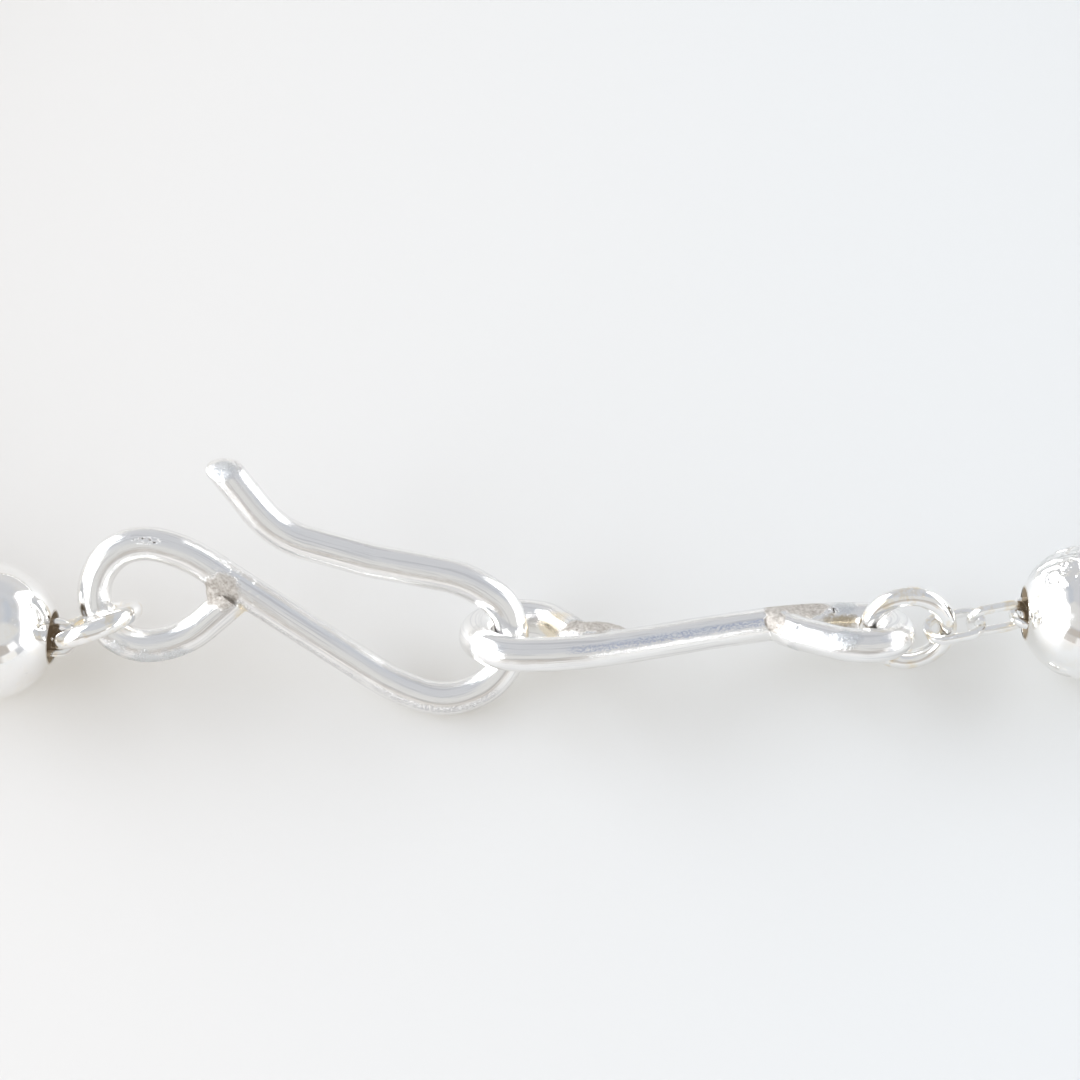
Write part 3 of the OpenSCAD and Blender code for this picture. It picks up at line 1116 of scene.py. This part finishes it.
# What the silver mirrors of the room
DIM_CEILING, BRIGHT_CEILING = rgb(0.575, 0.59, 0.62), rgb(0.66, 0.67, 0.695)
COOL_CEILING, WALL, FRONT_WALL = rgb(0.50, 0.545, 0.62), rgb(0.70, 0.70, 0.705), rgb(0.73, 0.73, 0.72)
DIM_SHELF = rgb(0.54, 0.505, 0.47)
LOW_FRONT, WHITE_BOARD = rgb(0.66, 0.63, 0.60), rgb(0.94, 0.93, 0.91)
LIGHT_RIM, LIGHT, GLEAM = rgb(0.98, 0.985, 1.0), rgb(5.2, 5.3, 5.4), rgb(1.3, 1.3, 1.3)


def studio(name):
    """A pale room with a big soft light on each side, and white boards in front. Heights are the
    upward part of a direction, and backward is how far back a way goes for each step to the side."""
    world = bpy.data.worlds.new(name)
    s = Finish(world)
    way = s.node("TexCoord", output="Generated")
    x, y, z = (s.node("SeparateXYZ", {}, [way], axis) for axis in "XYZ")
    beside = abs(x)
    backward = y / (beside + 0.001)
    across = x / ((-1 * y).math("MAXIMUM", -1 * y, 0.001))
    in_front = s.between(-1 * y, 0.12, 0.28)
    right_in_front = s.between(-1 * y - beside, -0.03, 0.03)

    sky = s.colour(s.noise(way, 2.2, 3.0, 0.6), DIM_CEILING, BRIGHT_CEILING)
    cool = (1 - in_front) * s.window(z, 0.74, 0.86, 0.04) * s.between(beside, 0.25, 0.5)
    sky = s.colour(cool * 0.5, sky, COOL_CEILING)
    sky = s.colour((1 - in_front) * (1 - s.between(z, 0.25, 0.5)), sky, WALL)
    sky = s.colour(in_front * s.window(z, 0.46, 0.88, 0.05), sky, FRONT_WALL)
    sky = s.colour(right_in_front * s.window(z, 0.2, 0.43, 0.05), sky, DIM_SHELF)
    board = s.window(across, -0.42, -0.165, 0.05) + s.window(across, 0.42, 1.3, 0.08)
    low = s.colour(board, LOW_FRONT, WHITE_BOARD)
    sky = s.colour(right_in_front * (1 - s.between(z, 0.17, 0.23)), sky, low)

    on_left = s.between(-1 * x, -0.01, 0.01)
    left_roof = lowest(0.72, backward * 0.5 + 0.995, backward * -0.6 + 1.26)
    right_roof = lowest(0.57, backward * 0.45 + 0.54, backward * -0.45 + 1.04)
    for side, roof, front in ((on_left, left_roof, -1.1), (1 - on_left, right_roof, -0.62)):
        above = s.between(z, -0.01, 0.01) * side
        glow = s.between(roof - z, -0.08, 0.04) * s.window(backward, front, 1.3, 0.12) * above
        core = s.between(roof - z, 0.0, 0.06) * s.window(backward, front + 0.05, 1.25, 0.05) * above
        sky = s.colour(core, s.colour(glow, sky, LIGHT_RIM), LIGHT)
    gleam = (1 - on_left) * s.window(backward, -1.25, -0.75, 0.09) * s.window(z, 0.2, 0.4, 0.06)
    background = s.node("Background", {}, {"Color": s.colour(gleam, sky, GLEAM), "Strength": 1.0})
    s.node("OutputWorld", {}, {"Surface": background})
    return world


FLOOR_R, FLOOR_SIDES = 4.0, 96
clear_selection()
bpy.ops.mesh.primitive_circle_add(vertices=FLOOR_SIDES, radius=FLOOR_R, fill_type="NGON")
floor = bpy.context.object
floor.name = "pale_surface"
floor.data.materials.append(paper("pale paper"))
bpy.context.scene.world = studio("studio")

AIM_BEHIND_BEADS, CAMERA_ELEVATION, CAMERA_DISTANCE, LENS, SENSOR = 6.2, 60, 200, 99.3, 36
aim = (centre_of(BEAD_NAMES[0]) + centre_of(BEAD_NAMES[-1])) / 2 + Vector((0, AIM_BEHIND_BEADS * MM, 0))
lean = math.radians(CAMERA_ELEVATION)
clear_selection()
bpy.ops.object.camera_add(
    location=aim + Vector((0, -math.cos(lean), math.sin(lean))) * CAMERA_DISTANCE * MM,
    rotation=(math.pi / 2 - lean, 0, 0),
)
camera = bpy.context.object
camera.data.sensor_width = SENSOR
camera.data.lens = LENS
bpy.context.scene.camera = camera
bpy.context.scene.view_settings.view_transform = "Standard"
